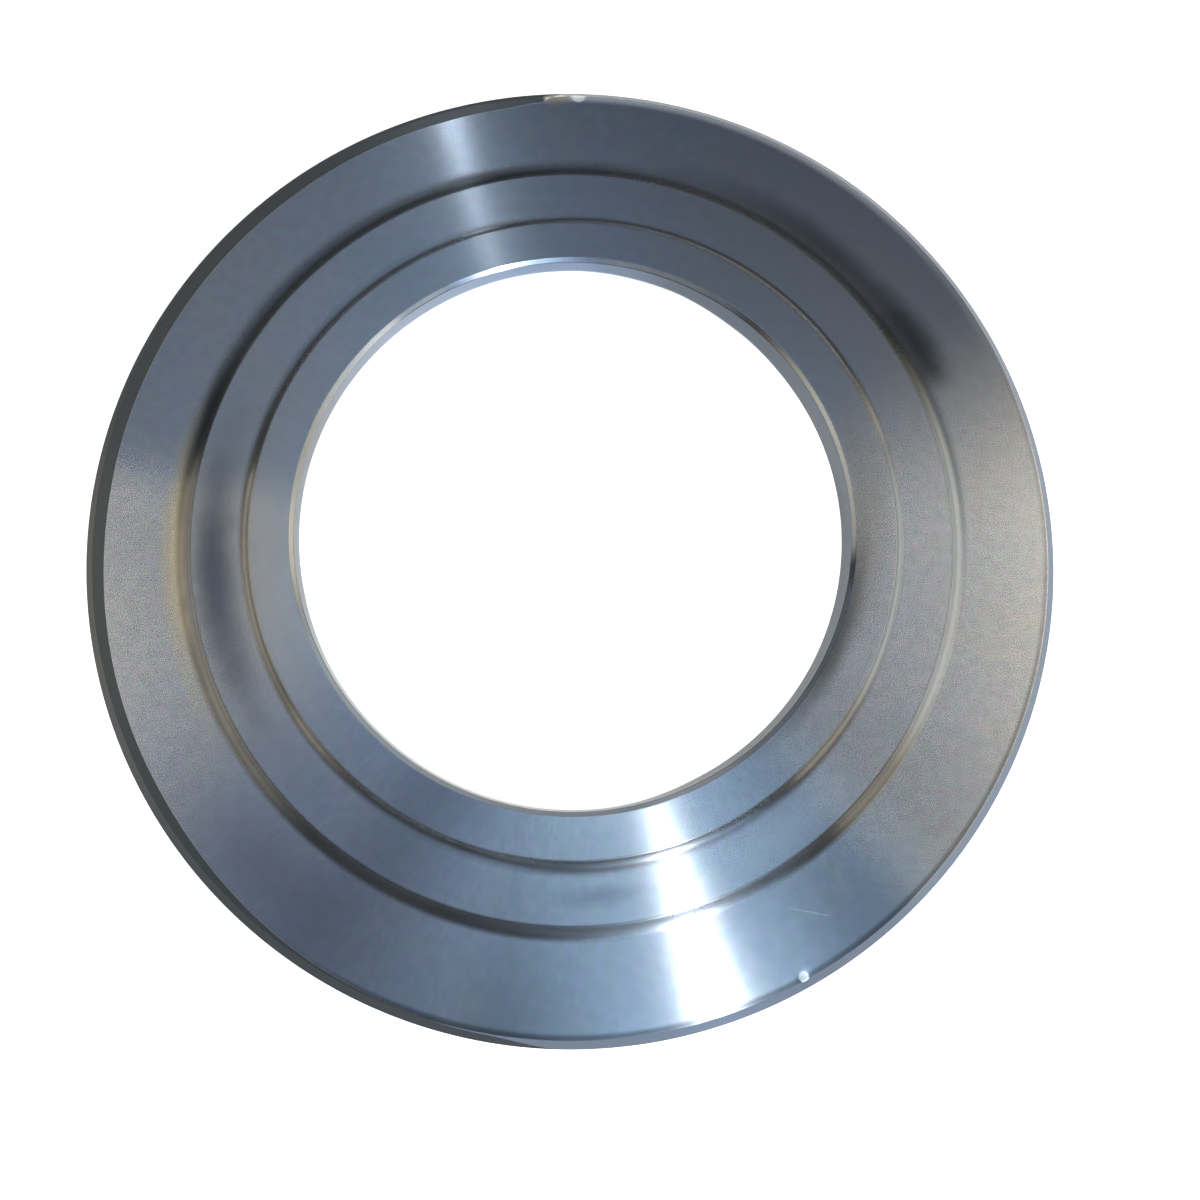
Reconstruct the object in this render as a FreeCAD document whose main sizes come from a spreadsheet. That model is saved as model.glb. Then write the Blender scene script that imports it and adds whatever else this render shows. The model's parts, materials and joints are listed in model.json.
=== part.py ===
import FreeCAD, Part
import math
import os
import Sketcher

# A turned pipe flange in one piece. It lies on its flat back at z = 0, with its axis on Z,
# and its face steps up twice towards the bore: plate, hub, nose. All sizes are millimetres.

NODE = "flange_ring"

SIZES = [
    # The ring. A pipe of 139.7 mm slips into the bore with 1.3 mm to spare.
    ("outer_diameter", 250.0),
    ("bore_diameter", 141.0),
    ("plate_thickness", 7.0),
    # Hub and nose: the diameter at the foot of each shoulder, and how far it rises.
    ("hub_diameter", 197.0),
    ("hub_rise", 2.5),
    ("nose_diameter", 165.6),
    ("nose_rise", 1.5),
    # A shoulder leans back from upright by so many degrees, and its foot runs out in a radius.
    ("shoulder_lean", 35.0),
    ("hub_foot_radius", 4.0),
    ("nose_foot_radius", 2.5),
    ("crest_radius", 0.4),
    # Edge breaks at 45 degrees.
    ("rim_face_chamfer", 3.0),
    ("rim_back_chamfer", 1.0),
    ("bore_face_chamfer", 1.0),
    ("bore_back_chamfer", 1.5),
    # The most of a shoulder's slope that its foot radius may take up.
    ("foot_share", 0.8),
]

# A foot radius is limited by the slope that it rolls up on.
FOOT_LIMIT = (
    "=min({step}_foot_radius; foot_share * {step}_rise"
    " / (cos(shoulder_lean * 1deg) * tan((90 - shoulder_lean) * 0.5deg)))"
)

# The half section's corners, in drawing order. Each joins the next with a straight line.
CORNERS = (
    "bore_back", "rim_back", "rim_face", "hub_foot", "hub_crest", "nose_foot", "nose_crest", "bore_face",
)

SIZE_TOLERANCE = 0.001


def make_sheet(doc):
    """Puts every driving size in a sheet, one named cell each."""
    sheet = doc.addObject("Spreadsheet::Sheet", "Sizes")
    rows = [(name, str(value)) for name, value in SIZES]
    rows += [(f"{step}_foot_fillet", FOOT_LIMIT.format(step=step)) for step in ("hub", "nose")]
    for row, (name, text) in enumerate(rows, start=1):
        sheet.set(f"A{row}", name)
        sheet.set(f"B{row}", text)
        sheet.setAlias(f"B{row}", name)
    doc.recompute()
    return sheet


def corner_places(sheet):
    """Gives each corner of the half section its radius and height."""
    run = math.tan(math.radians(sheet.shoulder_lean))
    bore = sheet.bore_diameter / 2
    rim = sheet.outer_diameter / 2
    hub = sheet.hub_diameter / 2
    nose = sheet.nose_diameter / 2
    plate_top = sheet.plate_thickness
    hub_top = plate_top + sheet.hub_rise
    nose_top = hub_top + sheet.nose_rise
    return {
        "bore_back": (bore, 0.0),
        "rim_back": (rim, 0.0),
        "rim_face": (rim, plate_top),
        "hub_foot": (hub, plate_top),
        "hub_crest": (hub - sheet.hub_rise * run, hub_top),
        "nose_foot": (nose, hub_top),
        "nose_crest": (nose - sheet.nose_rise * run, nose_top),
        "bore_face": (bore, nose_top),
    }


def draw_section(body, sheet):
    """Draws the half section on the body's own upright plane, its sizes bound to the sheet."""
    plane = next(item for item in body.Origin.OriginFeatures if item.Role == "XZ_Plane")
    sketch = body.newObject("Sketcher::SketchObject", "half_section")
    sketch.AttachmentSupport = [(plane, "")]
    sketch.MapMode = "FlatFace"
    places = corner_places(sheet)
    points = [FreeCAD.Vector(*places[name], 0) for name in CORNERS]
    count = len(points)
    for index, start in enumerate(points):
        sketch.addGeometry(Part.LineSegment(start, points[(index + 1) % count]), False)
    for index in range(count):
        sketch.addConstraint(Sketcher.Constraint("Coincident", index, 2, (index + 1) % count, 1))
    line_from = {name: index for index, name in enumerate(CORNERS)}
    for name in ("bore_back", "rim_face", "hub_crest", "nose_crest"):
        sketch.addConstraint(Sketcher.Constraint("Horizontal", line_from[name]))
    for name in ("rim_back", "bore_face"):
        sketch.addConstraint(Sketcher.Constraint("Vertical", line_from[name]))
    sketch.addConstraint(Sketcher.Constraint("PointOnObject", line_from["bore_back"], 1, -1))

    def bind(name, constraint, expression):
        """Adds a named size to the sketch and ties it to the sheet."""
        sketch.renameConstraint(sketch.addConstraint(constraint), name)
        sketch.setExpression(f"Constraints.{name}", expression)

    for corner, diameter in (
        ("bore_back", "bore_diameter"),
        ("rim_back", "outer_diameter"),
        ("hub_foot", "hub_diameter"),
        ("nose_foot", "nose_diameter"),
    ):
        across = Sketcher.Constraint("DistanceX", -1, 1, line_from[corner], 1, places[corner][0])
        bind(corner + "_radius", across, f"Sizes.{diameter} / 2")
    for low, high, rise in (
        ("rim_back", "rim_face", "plate_thickness"),
        ("hub_foot", "hub_crest", "hub_rise"),
        ("nose_foot", "nose_crest", "nose_rise"),
    ):
        height = places[high][1] - places[low][1]
        upright = Sketcher.Constraint("DistanceY", line_from[low], 1, line_from[high], 1, height)
        bind(high + "_height", upright, f"Sizes.{rise}")
    for step in ("hub", "nose"):
        foot, crest = step + "_foot", step + "_crest"
        run = places[foot][0] - places[crest][0]
        leaning = Sketcher.Constraint("DistanceX", line_from[crest], 1, line_from[foot], 1, run)
        bind(step + "_run", leaning, f"Sizes.{step}_rise * tan(Sizes.shoulder_lean * 1deg)")
    return sketch


def circle_names(shape, radius, height):
    """Names the round edge of this radius that lies at this height."""
    names = []
    for number, edge in enumerate(shape.Edges, start=1):
        curve = edge.Curve
        if not isinstance(curve, Part.Circle):
            continue
        if max(abs(curve.Radius - radius), abs(curve.Center.z - height)) < SIZE_TOLERANCE:
            names.append(f"Edge{number}")
    if len(names) != 1:
        raise ValueError(f"no single edge of radius {radius} at height {height}")
    return names


def dress_edge(body, sheet, kind, corner, expression):
    """Rounds or bevels one corner of the turned section all the way round."""
    base = body.Tip
    feature = body.newObject(f"PartDesign::{kind}", f"{corner}_{kind.lower()}")
    feature.Base = (base, circle_names(base.Shape, *corner_places(sheet)[corner]))
    feature.setExpression("Radius" if kind == "Fillet" else "Size", expression)
    body.Document.recompute()


def make_flange(doc, sheet):
    """Turns the section about the Z axis, then rounds the shoulders and breaks the edges."""
    body = doc.addObject("PartDesign::Body", NODE)
    body.Label = NODE
    sketch = draw_section(body, sheet)
    turned = body.newObject("PartDesign::Revolution", "turned_blank")
    turned.Profile = sketch
    turned.ReferenceAxis = (sketch, ["V_Axis"])
    turned.Angle = 360.0
    sketch.Visibility = False
    doc.recompute()
    for step in ("hub", "nose"):
        dress_edge(body, sheet, "Fillet", f"{step}_foot", f"Sizes.{step}_foot_fillet")
        dress_edge(body, sheet, "Fillet", f"{step}_crest", "Sizes.crest_radius")
    dress_edge(body, sheet, "Chamfer", "rim_face", "Sizes.rim_face_chamfer")
    dress_edge(body, sheet, "Chamfer", "rim_back", "Sizes.rim_back_chamfer")
    dress_edge(body, sheet, "Chamfer", "bore_face", "Sizes.bore_face_chamfer")
    dress_edge(body, sheet, "Chamfer", "bore_back", "Sizes.bore_back_chamfer")
    body.Placement = FreeCAD.Placement()
    return body


def check(doc, body, sheet):
    """Stops unless every object worked out and the body is one sound solid of the right reach."""
    for item in doc.Objects:
        if "Invalid" in item.State or "Error" in item.State:
            raise ValueError(f"{item.Name} failed: {item.State}")
    shape = body.Shape
    if shape.isNull() or not shape.isValid() or len(shape.Solids) != 1:
        raise ValueError("the flange is not one valid solid")
    box = shape.optimalBoundingBox(True, False)
    thickness = sheet.plate_thickness + sheet.hub_rise + sheet.nose_rise
    for found, wanted in (
        (box.XLength, sheet.outer_diameter),
        (box.YLength, sheet.outer_diameter),
        (box.ZMin, 0.0),
        (box.ZMax, thickness),
    ):
        if abs(found - wanted) > SIZE_TOLERANCE:
            raise ValueError(f"the flange measures {found} where {wanted} was asked")


doc = FreeCAD.newDocument("pipe_flange")
sheet = make_sheet(doc)
flange = make_flange(doc, sheet)
doc.recompute()
check(doc, flange, sheet)
os.makedirs("parts", exist_ok=True)
flange.Shape.exportStep(f"parts/{NODE}.step")
print(f"{NODE}: {flange.Shape.Volume / 1000:.1f} cm3, {len(flange.Shape.Faces)} faces")
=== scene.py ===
import json
import math

import bpy
from mathutils import Matrix, Vector


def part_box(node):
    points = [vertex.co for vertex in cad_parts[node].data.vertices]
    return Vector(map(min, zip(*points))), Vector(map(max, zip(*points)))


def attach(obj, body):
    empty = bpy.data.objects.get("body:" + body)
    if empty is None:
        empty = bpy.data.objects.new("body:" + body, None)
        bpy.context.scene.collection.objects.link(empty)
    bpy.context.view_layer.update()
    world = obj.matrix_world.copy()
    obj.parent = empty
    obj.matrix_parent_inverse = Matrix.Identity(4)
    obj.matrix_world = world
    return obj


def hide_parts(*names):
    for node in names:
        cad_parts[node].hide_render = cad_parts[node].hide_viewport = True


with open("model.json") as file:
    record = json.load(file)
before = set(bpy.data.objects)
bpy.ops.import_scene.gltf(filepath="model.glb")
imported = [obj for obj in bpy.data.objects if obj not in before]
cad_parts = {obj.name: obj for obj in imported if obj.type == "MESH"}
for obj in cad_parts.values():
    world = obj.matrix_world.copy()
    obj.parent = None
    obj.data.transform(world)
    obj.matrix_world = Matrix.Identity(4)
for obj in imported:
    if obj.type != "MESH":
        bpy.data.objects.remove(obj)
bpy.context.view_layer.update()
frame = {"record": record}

# A turned steel pipe flange lies on its back on a pale floor, and the camera looks down on its
# stepped face from close by. Lengths are metres. A bearing is an angle in degrees round the flange,
# clockwise as the camera sees it, from +Y at the top of the picture.

MM = 0.001

NODE = "flange_ring"
HIGH = Vector(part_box(NODE)[1])
BORE = next(mount for mount in frame["record"]["mounts"] if mount["name"] == "bore")

# The half section. The reach, the top and the bore come from the frame, and the rest repeats the
# solid's own sizes. Only the small rounds on the bevels' edges are the scene's own.
RIM_RADIUS = HIGH.x
BORE_RADIUS = BORE["dims"]["r_mm"] * MM
NOSE_TOP = HIGH.z
NOSE_RISE = 1.5 * MM
HUB_RISE = 2.5 * MM
HUB_TOP = NOSE_TOP - NOSE_RISE
PLATE_TOP = HUB_TOP - HUB_RISE
HUB_RADIUS = 98.5 * MM
NOSE_RADIUS = 82.8 * MM
SHOULDER_LEAN = math.radians(35.0)
HUB_FOOT_ROUND = 4.0 * MM
NOSE_FOOT_ROUND = 2.5 * MM
CREST_ROUND = 0.4 * MM
RIM_FACE_CHAMFER = 3.0 * MM
RIM_BACK_CHAMFER = 1.0 * MM
BORE_FACE_CHAMFER = 1.0 * MM
BORE_BACK_CHAMFER = 1.5 * MM
EDGE_ROUND = 0.2 * MM

# How finely the ring is turned.
SEGMENTS = 840
SMALL_ARC_STEPS = 3
LARGE_ARC_STEPS = 14
SUPPORT_GAP = 0.3 * MM
# Further rows of points on the outer band, this far in from the rim, so that nicks there stay small.
NICK_ROWS = [3.9 * MM, 4.5 * MM, 5.1 * MM, 5.8 * MM, 6.6 * MM]

# The camera: where it stands, what it looks at, its lens, and the picture's shift in pixels.
CAMERA_PLACE = Vector((-2.9, -42.7, 236.2)) * MM
CAMERA_TARGET = Vector((0.3, -1.5, 10.0)) * MM
PICTURE_SIDE = 1200
FOCAL_PIXELS = 909.7
SENSOR_WIDTH = 36.0
FRAME_OFFSET_RIGHT = 25
FRAME_OFFSET_DOWN = 72
CAMERA_NEAR = 0.01

# The steel drifts between a cool and a warm grey. Streaks and mottle darken it a little.
STEEL_COOL = (0.56, 0.6, 0.66, 1.0)
STEEL_WARM = (0.62, 0.61, 0.6, 1.0)
STEEL_DARK = (0.46, 0.48, 0.52, 1.0)
STREAK_SHARE = 0.3
MOTTLE_SHARE = 0.45
# Faint tints that mottle the face.
TINT_GREEN = (0.54, 0.62, 0.59, 1.0)
TINT_PURPLE = (0.64, 0.57, 0.68, 1.0)
TINT_SHARE = 0.32
# The noises behind them: scale, detail and roughness. Streaks and tint drift run on a circle of
# radius 1, and the others on the flange itself, in metres.
STREAK_NOISE = (110.0, 4.0, 0.7)
TINT_DRIFT_NOISE = (45.0, 4.0, 0.75)
DRIFT_NOISE = (45.0, 3.0, 0.5)
BLOT_NOISE = (120.0, 3.0, 0.5)
MOTTLE_NOISE = (320.0, 3.0, 0.6)
TINT_NOISE = (290.0, 3.0, 0.6)
TOOL_MARK_NOISE = (1100.0, 2.0, 0.5)
# How fast the streaks change outwards: a metre of radius counts as this much on that circle.
STREAK_BREAK = 2.0
# Between which values a noise goes from none to all.
SOFT_STEP = (0.4, 0.6)
MOTTLE_STEP = (0.38, 0.62)

# How the steel shines: light spreads across the tool marks, which run round the flange.
STEEL_ROUGHNESS = 0.195
ANISOTROPY = 0.99
ANISOTROPY_TURN = 0.25
TOOL_MARK_STRENGTH = 0.02
TOOL_MARK_DEPTH = 0.02 * MM
# What streaks, the painted corner shade and the painted shadow on the rim add to the roughness, and how
# dull each kind of mark is.
STREAK_ROUGHNESS = 0.05
CORNER_SHADE_ROUGHNESS = 0.1
RIM_SHADOW_ROUGHNESS = 0.3
RIM_SHADOW_DULL = 0.9
CORNER_SHADE_DULL = 0.12
BEVEL_DULL_MOST = 0.9
RAW_DULL = 0.6
SCRATCH_RAW = 0.6
RIM_SHEEN_RAW = 0.45

# Marks of the stepped side lie above this height, and fade in over this stretch.
FACE_SIDE = (2.5 * MM, 3.5 * MM)

# Painted shade in the shoulders' corners, which darkens the step lines. It starts this far inside the
# crest, and stays full over this share of its reach.
PAINTED_SHADE = (0.034, 0.035, 0.038, 1.0)
CORNER_SHADE_RISE = 0.6 * MM
CORNER_SHADE_PLATEAU = 0.35
# How far it reaches at most over the band outside the corner, and where its two edges lie.
HUB_SHADE_REACH = 5.6 * MM
HUB_SHADE_CREST = HUB_RADIUS - HUB_RISE * math.tan(SHOULDER_LEAN) - 0.2 * MM
NOSE_SHADE_REACH = 3.2 * MM
NOSE_SHADE_FOOT = NOSE_RADIUS - 0.1 * MM
NOSE_SHADE_CREST = NOSE_RADIUS - NOSE_RISE * math.tan(SHOULDER_LEAN)
# How it comes and goes, as (bearing, share) round the flange, like every curve below.
HUB_SHADE = [
    (0, 0.68), (15, 0.5), (30, 0.36), (45, 0.3), (60, 0.55), (72, 0.76), (84, 0.82), (112, 0.82),
    (122, 0.83), (130, 0.9), (137, 0.9), (148, 0.64), (165, 0.58), (180, 0.72), (210, 0.68),
    (225, 0.73), (238, 0.88), (250, 0.965), (276, 0.965), (288, 0.9), (300, 0.7), (332, 0.7),
    (345, 0.93), (360, 0.68),
]
NOSE_SHADE = [
    (0, 0.3), (15, 0.1), (30, 0.0), (55, 0.0), (68, 0.5), (78, 0.88), (110, 0.88), (122, 0.86),
    (137, 0.86), (148, 0.5), (165, 0.65), (180, 0.73), (195, 0.3), (212, 0.28), (226, 0.6),
    (240, 0.94), (255, 0.93), (270, 0.93), (285, 0.7), (300, 0.48), (315, 0.33), (332, 0.33),
    (345, 0.75), (360, 0.3),
]
# How far it reaches, as a share of the most.
HUB_SPREAD = [(0, 1.0), (60, 1.0), (110, 0.5), (150, 0.45), (225, 0.5), (285, 1.0), (360, 1.0)]
NOSE_SPREAD = [(0, 1.0), (90, 0.6), (180, 1.0), (250, 0.6), (300, 1.0), (360, 1.0)]
# How dull the nose's slope is worn, and how softly that ends inside and outside it.
NOSE_WORN_SOFT = (0.3 * MM, 0.6 * MM)
NOSE_WORN = [(0, 0.08), (12, 0.15), (58, 0.15), (72, 0.0), (290, 0.0), (315, 0.06), (360, 0.08)]
# Where the painted corner shade is paler.
PALE_CORNER_SHADE = (0.1, 0.125, 0.17, 1.0)
PALE_CORNER_SHADE_SHARE = [(0, 0.0), (60, 0.0), (78, 1.0), (114, 1.0), (128, 0.0), (360, 0.0)]
# How much painted shade, laid on as a dark film colour, the bore's bevel and wall carry, and where the
# bevel is dull. The bevel and the wall end outside the bore between these two distances.
BEVEL_END = (1.05 * MM, 0.95 * MM)
WALL_END = (0.2 * MM, 0.05 * MM)
BEVEL_SHADE = [
    (0, 0.15), (20, 0.35), (45, 0.8), (90, 0.85), (122, 0.85), (140, 0.6), (155, 0.0), (235, 0.0),
    (250, 0.6), (285, 0.86), (305, 0.86), (317, 0.8), (328, 0.3), (341, 0.0), (360, 0.15),
]
BEVEL_DULL = [
    (0, 0.0), (12, 0.3), (34, 0.3), (46, 0.0), (96, 0.0), (106, 0.45), (140, 0.45), (160, 0.8),
    (240, 0.9), (262, 0.0), (308, 0.0), (317, 0.8), (327, 0.8), (335, 0.0), (360, 0.0),
]
BEVEL_DULL_COLOUR = (0.3, 0.34, 0.4, 1.0)
BORE_SHADE = [
    (0, 0.97), (38, 0.97), (60, 0.95), (140, 0.95), (200, 0.6), (235, 0.7), (255, 0.86),
    (315, 0.86), (360, 0.97),
]
BORE_SHADE_COLOUR = (0.03, 0.042, 0.06, 1.0)
# At the top of the bore the painted shade is tinted blue.
BORE_BLUE_SHADE = (0.12, 0.17, 0.27, 1.0)
BORE_BLUE_SHADE_SHARE = [
    (0, 1.0), (10, 0.6), (25, 0.1), (60, 0.0), (285, 0.0), (320, 0.8), (340, 1.0), (360, 1.0),
]
# Below a height the bore's wall is bright and shows the floor. The height is given as a share of the
# top's.
BORE_BRIGHT = (0.95, 0.965, 0.98, 1.0)
BORE_BRIGHT_SOFT = 0.8 * MM
BORE_BRIGHT_RISE = [
    (0, 0.45), (20, 0.36), (40, 0.2), (60, 0.08), (80, 0.0), (145, 0.0), (175, 0.6), (230, 0.6),
    (260, 0.45), (360, 0.45),
]
# Painted shade on the rim's bevel, and a painted dark line along its inner edge: how far the line lies
# inside and outside that edge, and how softly it ends on each side.
RIM_BEVEL_SHADE = (0.085, 0.115, 0.17, 1.0)
RIM_BEVEL_SHADE_SOFT = 0.1 * MM
RIM_SHADE_LINE_INSIDE = 0.5 * MM
RIM_SHADE_LINE_OUTSIDE = 0.2 * MM
RIM_SHADE_LINE_SOFT = (1.2 * MM, 0.2 * MM)
RIM_SHADE_LINE = [(0, 0.1), (60, 0.1), (125, 0.5), (160, 0.6), (200, 0.6), (215, 0.1), (360, 0.1)]

# Stains and patches of painted shade: bearing and radius of the middle, half the width round and across,
# colour, strength and the bearing where the patch breaks off. The broad ones lie under the painted
# corner shade.
PATCH_RAGGED = 0.3
PATCH_EDGE = (1.15, 0.15)
PATCH_BREAK = (2.0, -3.0)
BROAD_STAINS_AND_SHADE = [
    (46, 98.0 * MM, 48, 60.0 * MM, (0.6, 0.56, 0.5, 1.0), 0.75, 360),
    (264, 84.0 * MM, 52, 24.0 * MM, (0.64, 0.58, 0.52, 1.0), 0.75, 360),
    # Painted shade along the bore's edge, on the right.
    (90, 74.5 * MM, 36, 9.0 * MM, (0.4, 0.385, 0.36, 1.0), 0.7, 360),
    (144, 90.5 * MM, 14, 9.0 * MM, (0.78, 0.79, 0.8, 1.0), 0.7, 360),
    (221, 111.0 * MM, 16, 14.0 * MM, (0.42, 0.4, 0.41, 1.0), 0.6, 360),
    # Painted shade right at the bore's edge, on the right.
    (113, 71.8 * MM, 36, 5.0 * MM, (0.15, 0.14, 0.13, 1.0), 0.85, 360),
]
# The small ones lie over the painted corner shade.
STAINS_AND_REFLECTIONS = [
    # A painted dark reflection on the middle band, in two layers.
    (261, 91.0 * MM, 30, 7.5 * MM, (0.085, 0.1, 0.13, 1.0), 0.9, 360),
    (258, 91.0 * MM, 44, 14.0 * MM, (0.2, 0.22, 0.26, 1.0), 0.45, 360),
    (62, 103.8 * MM, 15, 8.5 * MM, (0.085, 0.085, 0.08, 1.0), 0.85, 69),
    (44, 102.8 * MM, 38, 7.2 * MM, (0.12, 0.115, 0.11, 1.0), 0.68, 69),
    (176, 90.0 * MM, 10, 4.0 * MM, (0.2, 0.22, 0.27, 1.0), 0.45, 360),
    # A painted warm reflection on the hub's shoulder.
    (264, 102.5 * MM, 34, 4.0 * MM, (0.74, 0.64, 0.42, 1.0), 0.6, 360),
]

# Nicks: bearing, radius and height of the middle, how far it reaches, how deep, and its brightness.
# A bright one has a bright floor, and its colour is full over this share of its reach.
NICK_CORE = 0.6
NICK_BRIGHT_FROM = 0.5
NICKS = [
    (0.6, 122.4 * MM, 7.0 * MM, 2.6 * MM, 0.3 * MM, 0.65),
    (357.6, 122.0 * MM, 7.0 * MM, 3.8 * MM, 0.1 * MM, 0.1),
    (153.4, 121.2 * MM, 7.0 * MM, 1.6 * MM, 0.2 * MM, 0.6),
]
# Scratches: bearing and radius of the two ends, half the width, strength.
# They fade over a share of their length at each end, and over their width up to a core.
SCRATCH_FADE = 0.2
SCRATCH_CORE = 0.3
SCRATCHES = [
    (151.6, 105.5 * MM, 146.6, 114.0 * MM, 0.16 * MM, 0.4),
    (153.6, 109.0 * MM, 151.8, 112.5 * MM, 0.13 * MM, 0.22),
]
SCRATCH_BRIGHT = (0.9, 0.95, 1.0, 1.0)
NICK_BRIGHT = (0.85, 0.9, 0.97, 1.0)
NICK_DARK = (0.6, 0.55, 0.47, 1.0)

# Painted shadow on the rim's left side, and how far it reaches in from just outside its edge, as a share
# of the most.
RIM_SHADOW_COLOUR = (0.041, 0.047, 0.053, 1.0)
RIM_SHADOW_REACH = 6.0 * MM
RIM_SHADOW_START = RIM_RADIUS + 0.2 * MM
RIM_SHADOW_SOFT = 0.1 * MM
RIM_SHADOW_WIDTH = [
    (0, 0.0), (180, 0.0), (190, 0.45), (203, 0.6), (240, 0.92), (275, 1.05), (315, 1.05),
    (338, 1.0), (350, 0.96), (356, 0.8), (359, 0.0),
]
# A painted sheen on the outer band's edge, which makes it paler.
RIM_SHEEN_WIDTH = 2.4 * MM
RIM_SHEEN = (0.95, 0.97, 1.0, 1.0)
RIM_SHEEN_SHARE = [(0, 0.9), (35, 0.8), (60, 0.3), (75, 0.0), (345, 0.0), (356, 0.9), (360, 0.9)]

# The floor reaches this far to each side. Its glow brings what the lights leave up to white.
FLOOR_SIDE = 6.0
FLOOR_COLOUR = (0.8, 0.8, 0.8, 1.0)
FLOOR_GLOW = 0.8

# The room is dark up to this height on a unit sphere, and goes over into blue at the top.
ROOM_LOW = (0.042, 0.046, 0.055, 1.0)
ROOM_HIGH = (0.28, 0.34, 0.46, 1.0)
ROOM_BLUE_FROM = 0.82

# Square lamps: name, bearing, elevation, distance, side, colour and radiance.
LAMPS = [
    ("lamp", 159.6, 42.0, 1.0, 0.06, (0.88, 0.95, 1.0), 450.0),
    ("far_lamp", 346.6, 34.0, 1.0, 0.03, (0.76, 0.88, 1.0), 110.0),
]
# Soft boxes on a dome of this radius: name, four corners as (bearing, elevation), colour, radiance, and
# the bearings over which they fade in and out. The cool ones make the halo round the lamp's streak and
# the blue bands, and the warm ones the fans on both sides.
PANEL_DISTANCE = 1.2
COOL = (0.52, 0.75, 1.0)
PALE = (0.6, 0.8, 1.0)
PANELS = [
    ("cool_core", [(140, 34), (188, 34), (188, 58), (136, 58)], COOL, 3.5, 14, 20),
    ("cool_heart", [(151, 33), (180, 33), (180, 59), (150, 59)], PALE, 8.4, 9, 12),
    ("cool_top", [(98, 62), (229, 62), (229, 86), (98, 86)], COOL, 1.93, 24, 46),
    ("cool_side", [(112, 58), (172, 58), (172, 80), (112, 80)], COOL, 0.9, 14, 20),
    ("cool_glow", [(122, 48), (190, 48), (200, 76), (96, 76)], COOL, 0.3, 14, 24),
    ("cool_fill", [(284, 40), (350, 40), (344, 76), (288, 76)], (0.7, 0.8, 1.0), 0.26, 4, 8),
    ("cool_crown", [(292, 62), (358, 62), (358, 84), (292, 84)], (0.4, 0.68, 1.0), 1.3, 12, 8),
    ("cool_front", [(146, 2), (204, 2), (204, 24), (146, 24)], PALE, 0.8, 8, 30),
    ("warm_right", [(50, 5), (133, 5), (130, 38), (50, 38)], (1.0, 0.9, 0.69), 4.35, 31, 1),
    ("warm_end", [(108, 5), (133, 5), (131, 34), (108, 34)], (1.0, 0.92, 0.8), 0.7, 14, 1),
    ("warm_left", [(224, 5), (289, 5), (286, 38), (224, 38)], (1.0, 0.9, 0.7), 4.6, 38, 1),
]


def bearing_direction(bearing, elevation=0.0):
    """The unit direction at a bearing and an elevation, both in degrees."""
    turn, lift = math.radians(bearing), math.radians(elevation)
    return Vector((math.sin(turn) * math.cos(lift), math.cos(turn) * math.cos(lift), math.sin(lift)))


def section_corners():
    """The half section's corners as (radius, height, rounding), round from the bore's back edge."""
    run = math.tan(SHOULDER_LEAN)
    return [
        (BORE_RADIUS + BORE_BACK_CHAMFER, 0.0, EDGE_ROUND),
        (RIM_RADIUS - RIM_BACK_CHAMFER, 0.0, EDGE_ROUND),
        (RIM_RADIUS, RIM_BACK_CHAMFER, EDGE_ROUND),
        (RIM_RADIUS, PLATE_TOP - RIM_FACE_CHAMFER, EDGE_ROUND),
        (RIM_RADIUS - RIM_FACE_CHAMFER, PLATE_TOP, EDGE_ROUND),
        *[(RIM_RADIUS - inset, PLATE_TOP, 0.0) for inset in NICK_ROWS],
        (HUB_RADIUS, PLATE_TOP, HUB_FOOT_ROUND),
        (HUB_RADIUS - HUB_RISE * run, HUB_TOP, CREST_ROUND),
        (NOSE_RADIUS, HUB_TOP, NOSE_FOOT_ROUND),
        (NOSE_RADIUS - NOSE_RISE * run, NOSE_TOP, CREST_ROUND),
        (BORE_RADIUS + BORE_FACE_CHAMFER, NOSE_TOP, EDGE_ROUND),
        (BORE_RADIUS, NOSE_TOP - BORE_FACE_CHAMFER, EDGE_ROUND),
        (BORE_RADIUS, BORE_BACK_CHAMFER, EDGE_ROUND),
    ]


def round_corner(before, corner, after, radius):
    """Points of the arc that rounds a corner, with one point on each side to hold the flats flat."""
    back = (before - corner).normalized()
    ahead = (after - corner).normalized()
    half = back.angle(ahead) / 2
    reach = radius / math.tan(half)
    centre = corner + (back + ahead).normalized() * radius / math.sin(half)
    start = (corner + back * reach - centre).normalized()
    end = (corner + ahead * reach - centre).normalized()
    steps = LARGE_ARC_STEPS if radius > CREST_ROUND else SMALL_ARC_STEPS
    arc = [centre + start.slerp(end, step / steps) * radius for step in range(steps + 1)]
    return [corner + back * (reach + SUPPORT_GAP), *arc, corner + ahead * (reach + SUPPORT_GAP)]


def section_points():
    """The whole rounded half section, as points (radius, height)."""
    corners = section_corners()
    places = [Vector(corner[:2]) for corner in corners]
    count = len(places)
    points = []
    for index, (place, corner) in enumerate(zip(places, corners)):
        if corner[2] == 0.0:
            points.append(place)
            continue
        points += round_corner(places[index - 1], place, places[(index + 1) % count], corner[2])
    return points


def dented(point):
    """Moves a point of the surface in and down where a nick reaches it."""
    for bearing, radius, height, reach, depth, _ in NICKS:
        middle = bearing_direction(bearing) * radius + Vector((0, 0, height))
        near = 1.0 - (point - middle).length / reach
        if near > 0.0:
            inward = -bearing_direction(bearing) - Vector((0, 0, 1.0))
            point = point + inward.normalized() * depth * near * near * (3.0 - 2.0 * near)
    return point


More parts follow.
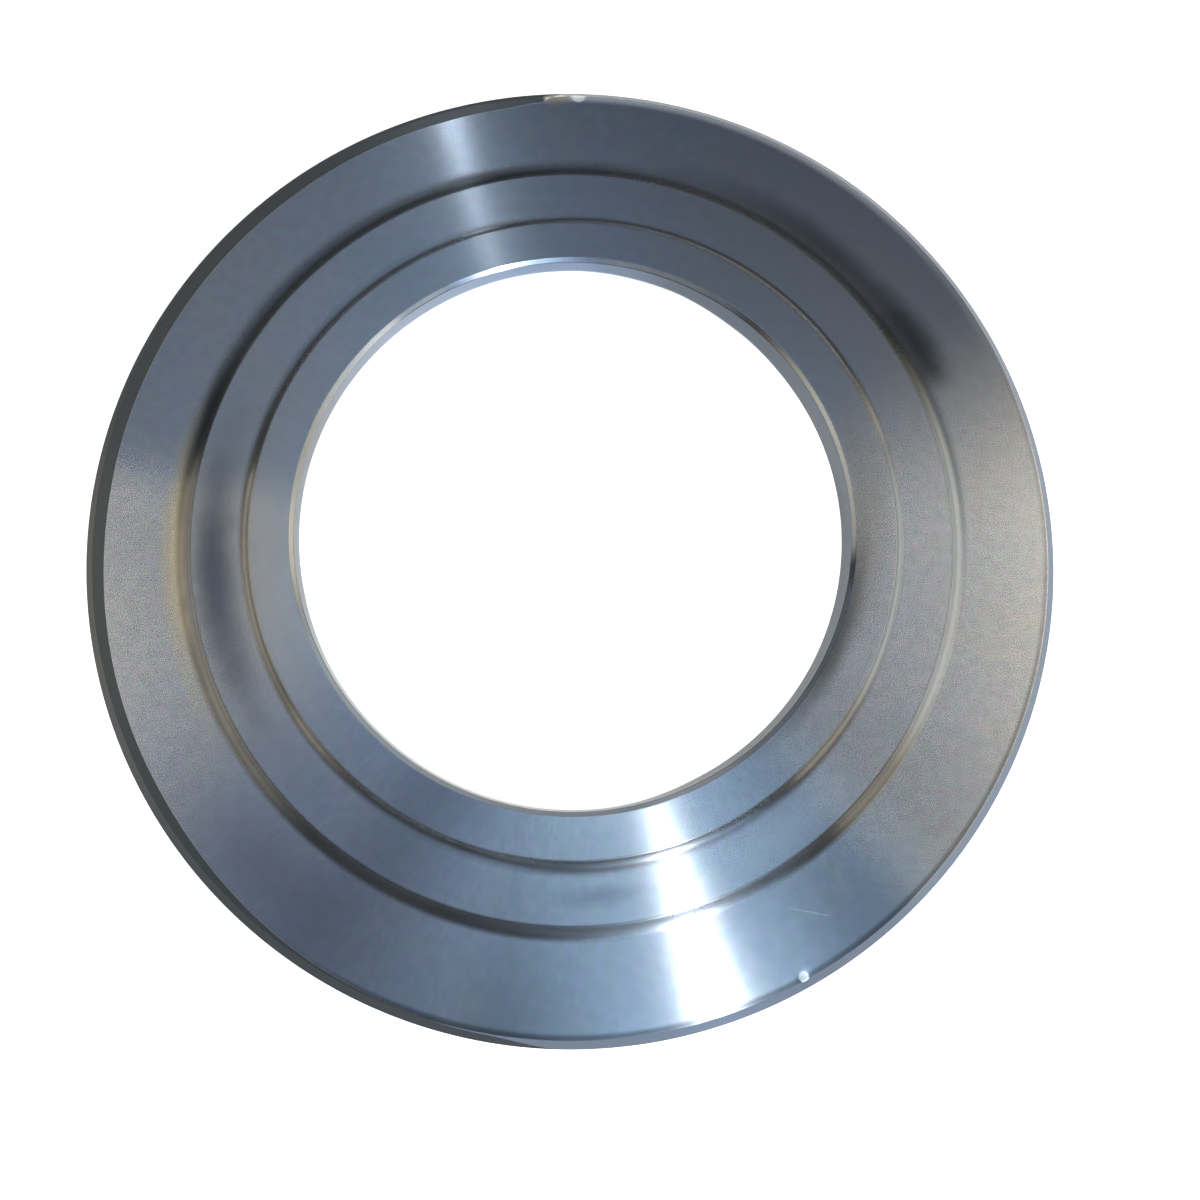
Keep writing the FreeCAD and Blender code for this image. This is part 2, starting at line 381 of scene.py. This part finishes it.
def make_ring():
    """Turns the half section into the ring's mesh."""
    section = section_points()
    rows = len(section)
    vertices = []
    for segment in range(SEGMENTS):
        turn = 2 * math.pi * segment / SEGMENTS
        vertices += [dented(Vector((r * math.cos(turn), r * math.sin(turn), z))) for r, z in section]
    faces = []
    for segment in range(SEGMENTS):
        here, there = segment * rows, (segment + 1) % SEGMENTS * rows
        for row in range(rows):
            after = (row + 1) % rows
            faces.append((here + row, there + row, there + after, here + after))
    mesh = bpy.data.meshes.new("turned_flange")
    mesh.from_pydata(vertices, [], faces)
    mesh.shade_smooth()
    mesh.update()
    ring = bpy.data.objects.new("turned_flange", mesh)
    bpy.context.scene.collection.objects.link(ring)
    return ring


class Nodes:
    """Short ways to add and join a material's nodes."""

    def __init__(self, name):
        self.material = bpy.data.materials.new(name)
        self.material.use_nodes = True
        self.tree = self.material.node_tree
        self.tree.nodes.clear()

    def join(self, node, key, value):
        """Links a socket to a node's input, or sets the input to a plain value."""
        if isinstance(value, bpy.types.NodeSocket):
            self.tree.links.new(value, node.inputs[key])
        else:
            node.inputs[key].default_value = value

    def add(self, kind, inputs=None, **settings):
        """Adds a node of this kind with its inputs and settings."""
        node = self.tree.nodes.new(kind)
        for key, value in settings.items():
            setattr(node, key, value)
        for key, value in (inputs or {}).items():
            self.join(node, key, value)
        return node

    def math(self, operation, *values):
        return self.add("ShaderNodeMath", dict(enumerate(values)), operation=operation).outputs[0]

    def vector(self, x=0.0, y=0.0, z=0.0):
        return self.add("ShaderNodeCombineXYZ", {0: x, 1: y, 2: z}).outputs[0]

    def blend(self, share, first, second):
        """Goes from the first colour to the second as share goes from 0 to 1."""
        node = self.add("ShaderNodeMix", {0: share, 6: first, 7: second}, data_type="RGBA")
        return node.outputs[2]

    def step(self, value, start, end):
        """Rises smoothly from 0 at start to 1 at end."""
        inputs = {"Value": value, "From Min": start, "From Max": end}
        return self.add("ShaderNodeMapRange", inputs, interpolation_type="SMOOTHSTEP").outputs[0]

    def between(self, value, low, high, soft_low, soft_high):
        """Is 1 between low and high, and fades to 0 over a soft stretch outside each."""
        rise = self.step(value, low - soft_low, low)
        return self.math("MULTIPLY", rise, self.step(value, high + soft_high, high))

    def round_curve(self, bearing_share, stops):
        """Reads a value off a smooth curve of (bearing, value) stops round the flange."""
        node = self.add("ShaderNodeValToRGB", {0: bearing_share})
        ramp = node.color_ramp
        ramp.interpolation = "EASE"
        while len(ramp.elements) < len(stops):
            ramp.elements.new(0.5)
        for element, (bearing, value) in zip(ramp.elements, stops):
            element.position = bearing / 360.0
            element.color = (value, value, value, 1.0)
        return node.outputs[0]

    def noise(self, place, kind):
        """Noise of a kind given as (scale, detail, roughness)."""
        scale, detail, roughness = kind
        inputs = {"Vector": place, "Scale": scale, "Detail": detail, "Roughness": roughness}
        return self.add("ShaderNodeTexNoise", inputs).outputs[0]

    def finish(self, shader):
        output = self.add("ShaderNodeOutputMaterial")
        self.tree.links.new(shader.outputs[0], output.inputs[0])
        return self.material


def round_places(n):
    """Gives a point's radius, its bearing as a share of the full turn, its height and its place."""
    place = n.add("ShaderNodeTexCoord").outputs["Object"]
    parts = n.add("ShaderNodeSeparateXYZ", {0: place})
    x, y, height = parts.outputs[0], parts.outputs[1], parts.outputs[2]
    square = n.math("ADD", n.math("MULTIPLY", x, x), n.math("MULTIPLY", y, y))
    radius = n.math("SQRT", square)
    turn = n.math("ARCTAN2", x, y)
    share = n.math("FRACT", n.math("ADD", n.math("DIVIDE", turn, 2 * math.pi), 1.0))
    return radius, share, height, place


def corner_shade(n, radius, share, foot, crest, spread, stops, widths):
    """Is 1 in a shoulder's corner, where shade is painted: sharp towards the crest, soft over the band
    outside it.
    """
    reach = n.math("MULTIPLY", n.round_curve(share, widths), spread)
    start = n.math("MULTIPLY_ADD", reach, CORNER_SHADE_PLATEAU, foot)
    end = n.math("ADD", reach, foot)
    across = n.math("MULTIPLY", n.step(radius, crest - CORNER_SHADE_RISE, crest), n.step(radius, end, start))
    return n.math("MULTIPLY", across, n.round_curve(share, stops))


def patched(n, colour, radius, share, face_side, blot, row):
    """Lays one patch, a stain or painted shade or reflection, over the colour, full in its middle and
    gone at its ragged edge.
    """
    bearing, middle, half_turn, half_width, stain_colour, strength, end = row
    around = n.math("DIVIDE", n.math("SUBTRACT", share, bearing / 360.0), half_turn / 360.0)
    across = n.math("DIVIDE", n.math("SUBTRACT", radius, middle), half_width)
    square = n.math("ADD", n.math("MULTIPLY", around, around), n.math("MULTIPLY", across, across))
    away = n.math("ADD", n.math("SQRT", square), n.math("MULTIPLY", blot, PATCH_RAGGED))
    after, before = ((end + shift) / 360.0 for shift in PATCH_BREAK)
    mask = n.math("MULTIPLY", n.step(away, *PATCH_EDGE), n.step(share, after, before))
    mask = n.math("MULTIPLY", mask, face_side)
    return n.blend(n.math("MULTIPLY", mask, strength), colour, stain_colour)


def scratch(n, place, start, end, half_width):
    """Is 1 along a thin straight scratch between two places on the face and 0 beside it."""
    course = (end - start).normalized()
    level = Vector((1, 1, 0))
    flat = n.add("ShaderNodeVectorMath", {0: place, 1: level}, operation="MULTIPLY").outputs[0]
    away = n.add("ShaderNodeVectorMath", {0: flat, 1: start}, operation="SUBTRACT").outputs[0]
    along = n.add("ShaderNodeVectorMath", {0: away, 1: course}, operation="DOT_PRODUCT").outputs[1]
    square = n.add("ShaderNodeVectorMath", {0: away, 1: away}, operation="DOT_PRODUCT").outputs[1]
    aside_square = n.math("SUBTRACT", square, n.math("MULTIPLY", along, along))
    aside = n.math("SQRT", n.math("MAXIMUM", aside_square, 0.0))
    length = (end - start).length
    fade = SCRATCH_FADE * length
    inside = n.between(along, fade, length - fade, fade, fade)
    return n.math("MULTIPLY", inside, n.step(aside, half_width, SCRATCH_CORE * half_width))


def steel_material():
    """Lathe-turned steel: light streaks across fine concentric tool marks, with painted shade in the
    corners.
    """
    n = Nodes("turned_steel")
    radius, share, height, place = round_places(n)

    # Fine streaks that run outwards, a slow drift from cool to warm, mottle and faint tints.
    turn = n.math("MULTIPLY", share, 2 * math.pi)
    outward = n.math("MULTIPLY", radius, STREAK_BREAK)
    around = n.vector(n.math("SINE", turn), n.math("COSINE", turn), outward)
    streaks = n.noise(around, STREAK_NOISE)
    tints = n.noise(around, TINT_DRIFT_NOISE)
    drift = n.noise(place, DRIFT_NOISE)
    blot = n.noise(place, BLOT_NOISE)
    mottle = n.noise(place, MOTTLE_NOISE)
    face_side = n.step(height, *FACE_SIDE)
    warmth = n.math("ADD", n.math("MULTIPLY", drift, 0.5), n.math("MULTIPLY", tints, 0.5))
    colour = n.blend(n.step(warmth, *SOFT_STEP), STEEL_COOL, STEEL_WARM)
    colour = n.blend(n.math("MULTIPLY", n.step(streaks, *SOFT_STEP), STREAK_SHARE), colour, STEEL_DARK)
    colour = n.blend(n.math("MULTIPLY", n.step(mottle, *MOTTLE_STEP), MOTTLE_SHARE), colour, STEEL_DARK)
    tint = n.blend(n.step(n.noise(place, TINT_NOISE), *SOFT_STEP), TINT_GREEN, TINT_PURPLE)
    colour = n.blend(TINT_SHARE, colour, tint)

    # Broad stains, then painted shade in the two corners, then small stains. A few stain rows are
    # painted shade and reflection too.
    for row in BROAD_STAINS_AND_SHADE:
        colour = patched(n, colour, radius, share, face_side, blot, row)
    hub_shade_mask = corner_shade(
        n, radius, share, HUB_RADIUS, HUB_SHADE_CREST, HUB_SHADE_REACH, HUB_SHADE, HUB_SPREAD)
    nose_shade_mask = corner_shade(
        n, radius, share, NOSE_SHADE_FOOT, NOSE_SHADE_CREST, NOSE_SHADE_REACH, NOSE_SHADE, NOSE_SPREAD)
    shade_mask = n.math("MULTIPLY", n.math("MAXIMUM", hub_shade_mask, nose_shade_mask), face_side)
    corner_shade_colour = n.blend(n.round_curve(share, PALE_CORNER_SHADE_SHARE), PAINTED_SHADE, PALE_CORNER_SHADE)
    colour = n.blend(shade_mask, colour, corner_shade_colour)
    for row in STAINS_AND_REFLECTIONS:
        colour = patched(n, colour, radius, share, face_side, blot, row)

    # Scratches.
    raw = 0.0
    for start_bearing, start_radius, end_bearing, end_radius, half_width, strength in SCRATCHES:
        start = bearing_direction(start_bearing) * start_radius
        end = bearing_direction(end_bearing) * end_radius
        mask = n.math("MULTIPLY", scratch(n, place, start, end, half_width), strength)
        colour = n.blend(mask, colour, SCRATCH_BRIGHT)
        raw = n.math("ADD", raw, n.math("MULTIPLY", mask, SCRATCH_RAW))

    # Painted shade, laid on as a dark film colour, in the bore and on its bevel.
    bore_shade_colour = n.blend(n.round_curve(share, BORE_BLUE_SHADE_SHARE), BORE_SHADE_COLOUR, BORE_BLUE_SHADE)
    bevel = n.step(radius, *[BORE_RADIUS + outside for outside in BEVEL_END])
    bevel = n.math("MULTIPLY", bevel, face_side)
    colour = n.blend(n.math("MULTIPLY", bevel, n.round_curve(share, BEVEL_SHADE)), colour, bore_shade_colour)
    bevel_dull = n.math("MULTIPLY", bevel, n.round_curve(share, BEVEL_DULL))
    colour = n.blend(bevel_dull, colour, BEVEL_DULL_COLOUR)
    wall = n.step(radius, *[BORE_RADIUS + outside for outside in WALL_END])
    bright_height = n.math("MULTIPLY", n.round_curve(share, BORE_BRIGHT_RISE), NOSE_TOP)
    bore_shaded = n.step(n.math("SUBTRACT", height, bright_height), -BORE_BRIGHT_SOFT, BORE_BRIGHT_SOFT)
    bore_shaded = n.math("MULTIPLY", bore_shaded, n.round_curve(share, BORE_SHADE))
    colour = n.blend(wall, colour, n.blend(bore_shaded, BORE_BRIGHT, bore_shade_colour))
    bevel_dull = n.math("MULTIPLY", bevel_dull, n.math("SUBTRACT", 1.0, wall))

    # The painted sheen on the outer band's edge, painted shade on the rim's bevel, painted shadow on the
    # rim.
    rim_edge = RIM_RADIUS - RIM_FACE_CHAMFER
    rim_sheen = n.step(radius, rim_edge - RIM_SHEEN_WIDTH, rim_edge)
    rim_sheen = n.math("MULTIPLY", rim_sheen, n.round_curve(share, RIM_SHEEN_SHARE))
    rim_sheen = n.math("MULTIPLY", rim_sheen, face_side)
    colour = n.blend(rim_sheen, colour, RIM_SHEEN)
    rim_shade_line = n.between(radius, rim_edge - RIM_SHADE_LINE_INSIDE, rim_edge + RIM_SHADE_LINE_OUTSIDE, *RIM_SHADE_LINE_SOFT)
    rim_shade_line = n.math("MULTIPLY", rim_shade_line, face_side)
    colour = n.blend(n.math("MULTIPLY", rim_shade_line, n.round_curve(share, RIM_SHADE_LINE)), colour, PAINTED_SHADE)
    colour = n.blend(n.step(radius, rim_edge - RIM_BEVEL_SHADE_SOFT, rim_edge + RIM_BEVEL_SHADE_SOFT), colour, RIM_BEVEL_SHADE)
    # The painted shadow on the rim's left side; its mask is held in scale.
    rim_shadow_width = n.math("MULTIPLY", n.round_curve(share, RIM_SHADOW_WIDTH), RIM_SHADOW_REACH)
    rim_shadow_edge = n.math("SUBTRACT", RIM_SHADOW_START, rim_shadow_width)
    scale = n.step(n.math("SUBTRACT", radius, rim_shadow_edge), -RIM_SHADOW_SOFT, RIM_SHADOW_SOFT)
    colour = n.blend(scale, colour, RIM_SHADOW_COLOUR)

    # The painted sheen dulls the steel too. Nicks: a bright one lays its steel bare, and bare steel is
    # dull.
    raw = n.math("ADD", raw, n.math("MULTIPLY", rim_sheen, RIM_SHEEN_RAW))
    for bearing, middle, middle_height, reach, _, bright in NICKS:
        centre = bearing_direction(bearing) * middle + Vector((0, 0, middle_height))
        away = n.add("ShaderNodeVectorMath", {0: place, 1: centre}, operation="DISTANCE").outputs[1]
        mask = n.step(away, reach, NICK_CORE * reach)
        colour = n.blend(mask, colour, NICK_BRIGHT if bright > NICK_BRIGHT_FROM else NICK_DARK)
        raw = n.math("ADD", raw, n.math("MULTIPLY", mask, bright))

    # How rough and how dull all this leaves the steel.
    roughness = n.math("ADD", STEEL_ROUGHNESS, n.math("MULTIPLY", streaks, STREAK_ROUGHNESS))
    roughness = n.math("ADD", roughness, n.math("MULTIPLY", shade_mask, CORNER_SHADE_ROUGHNESS))
    roughness = n.math("ADD", roughness, n.math("MULTIPLY", scale, RIM_SHADOW_ROUGHNESS))
    nose_edge = n.between(radius, NOSE_SHADE_CREST, NOSE_RADIUS, *NOSE_WORN_SOFT)
    dull = n.math("MULTIPLY", nose_edge, n.round_curve(share, NOSE_WORN))
    for mask, most in (
        (scale, RIM_SHADOW_DULL), (shade_mask, CORNER_SHADE_DULL), (raw, RAW_DULL), (bevel_dull, BEVEL_DULL_MOST),
    ):
        dull = n.math("MAXIMUM", dull, n.math("MULTIPLY", mask, most))
    metallic = n.math("SUBTRACT", 1.0, dull)

    tool_marks = n.noise(n.vector(radius), TOOL_MARK_NOISE)
    bump = n.add("ShaderNodeBump", {
        "Height": tool_marks,
        "Strength": TOOL_MARK_STRENGTH,
        "Distance": TOOL_MARK_DEPTH,
    })
    tangent = n.add("ShaderNodeTangent", direction_type="RADIAL", axis="Z")
    shader = n.add("ShaderNodeBsdfPrincipled", {
        "Base Color": colour,
        "Metallic": metallic,
        "Roughness": roughness,
        "Anisotropic": ANISOTROPY,
        "Anisotropic Rotation": ANISOTROPY_TURN,
        "Normal": bump.outputs[0],
        "Tangent": tangent.outputs[0],
    })
    return n.finish(shader)


def floor_material():
    """A pale floor that shows white and keeps the shadow."""
    n = Nodes("pale_floor")
    path = n.add("ShaderNodeLightPath")
    seen = n.math("MAXIMUM", path.outputs["Is Camera Ray"], path.outputs["Is Glossy Ray"])
    seen = n.math("MAXIMUM", seen, path.outputs["Is Transmission Ray"])
    diffuse = n.add("ShaderNodeBsdfDiffuse", {"Color": FLOOR_COLOUR})
    glow = n.add("ShaderNodeEmission", {"Strength": n.math("MULTIPLY", seen, FLOOR_GLOW)})
    return n.finish(n.add("ShaderNodeAddShader", {0: diffuse.outputs[0], 1: glow.outputs[0]}))


def make_floor():
    """A wide pale floor under the flange."""
    mesh = bpy.data.meshes.new("floor")
    corners = [
        (x * FLOOR_SIDE, y * FLOOR_SIDE, 0.0) for x, y in ((-1, -1), (1, -1), (1, 1), (-1, 1))
    ]
    mesh.from_pydata(corners, [], [(0, 1, 2, 3)])
    floor = bpy.data.objects.new("floor", mesh)
    bpy.context.scene.collection.objects.link(floor)
    mesh.materials.append(floor_material())


def make_lamp(name, bearing, elevation, distance, side, colour, radiance):
    """A small square lamp of this brightness that faces the flange."""
    light = bpy.data.lights.new(name, "AREA")
    light.size = side
    light.color = colour
    light.energy = radiance * math.pi * side * side
    lamp = bpy.data.objects.new(name, light)
    direction = bearing_direction(bearing, elevation)
    lamp.location = direction * distance
    lamp.rotation_euler = direction.to_track_quat("Z", "Y").to_euler()
    lamp.visible_camera = False
    bpy.context.scene.collection.objects.link(lamp)


def make_panel(name, corners, colour, radiance, soft_start, soft_end):
    """A soft box with four corners, each a bearing and an elevation on a dome over the flange.

    It fades in over the first degrees of its bearings and out over the last.
    """
    mesh = bpy.data.meshes.new(name)
    places = [bearing_direction(*corner) * PANEL_DISTANCE for corner in corners]
    mesh.from_pydata(places, [], [(0, 1, 2, 3)])
    panel = bpy.data.objects.new(name, mesh)
    bpy.context.scene.collection.objects.link(panel)
    n = Nodes(name)
    share = round_places(n)[1]
    bearings = [bearing for bearing, _ in corners]
    start, end = min(bearings) / 360.0, max(bearings) / 360.0
    soft_start, soft_end = soft_start / 360.0, soft_end / 360.0
    fade = n.between(share, start + soft_start, end - soft_end, soft_start, soft_end)
    glow = n.blend(fade, (0.0, 0.0, 0.0, 1.0), (*colour, 1.0))
    emission = n.add("ShaderNodeEmission", {"Color": glow, "Strength": radiance})
    mesh.materials.append(n.finish(emission))
    panel.visible_camera = False


def make_room():
    """A dim room, blue overhead and darker towards the floor."""
    world = bpy.data.worlds.new("room")
    world.use_nodes = True
    tree = world.node_tree
    up = tree.nodes.new("ShaderNodeSeparateXYZ")
    tree.links.new(tree.nodes.new("ShaderNodeTexCoord").outputs["Generated"], up.inputs[0])
    lift = tree.nodes.new("ShaderNodeMapRange")
    lift.interpolation_type = "SMOOTHSTEP"
    lift.inputs["From Min"].default_value = ROOM_BLUE_FROM
    lift.inputs["From Max"].default_value = 1.0
    tree.links.new(up.outputs[2], lift.inputs["Value"])
    mix = tree.nodes.new("ShaderNodeMix")
    mix.data_type = "RGBA"
    mix.inputs[6].default_value = ROOM_LOW
    mix.inputs[7].default_value = ROOM_HIGH
    tree.links.new(lift.outputs[0], mix.inputs[0])
    tree.links.new(mix.outputs[2], tree.nodes["Background"].inputs["Color"])
    bpy.context.scene.world = world


def make_lights():
    """Two lamps that make the narrow streaks, the soft boxes and a dim room."""
    for row in LAMPS:
        make_lamp(*row)
    for row in PANELS:
        make_panel(*row)
    make_room()


def make_camera():
    """Stands the camera over the flange's near edge, level with the picture's top."""
    camera_data = bpy.data.cameras.new("camera")
    camera_data.sensor_width = SENSOR_WIDTH
    camera_data.lens = SENSOR_WIDTH * FOCAL_PIXELS / PICTURE_SIDE
    camera_data.shift_x = FRAME_OFFSET_RIGHT / PICTURE_SIDE
    camera_data.shift_y = -FRAME_OFFSET_DOWN / PICTURE_SIDE
    camera_data.clip_start = CAMERA_NEAR
    forward = (CAMERA_TARGET - CAMERA_PLACE).normalized()
    right = forward.cross(Vector((0, 1, 0))).normalized()
    up = right.cross(forward)
    turn = Matrix((right, up, -forward)).transposed()
    camera = bpy.data.objects.new("camera", camera_data)
    camera.matrix_world = Matrix.Translation(CAMERA_PLACE) @ turn.to_4x4()
    bpy.context.scene.collection.objects.link(camera)
    bpy.context.scene.camera = camera


def main():
    bpy.context.scene.view_settings.view_transform = "Standard"
    ring = make_ring()
    ring.data.materials.append(steel_material())
    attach(ring, "root")
    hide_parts(NODE)
    make_floor()
    make_lights()
    make_camera()


main()
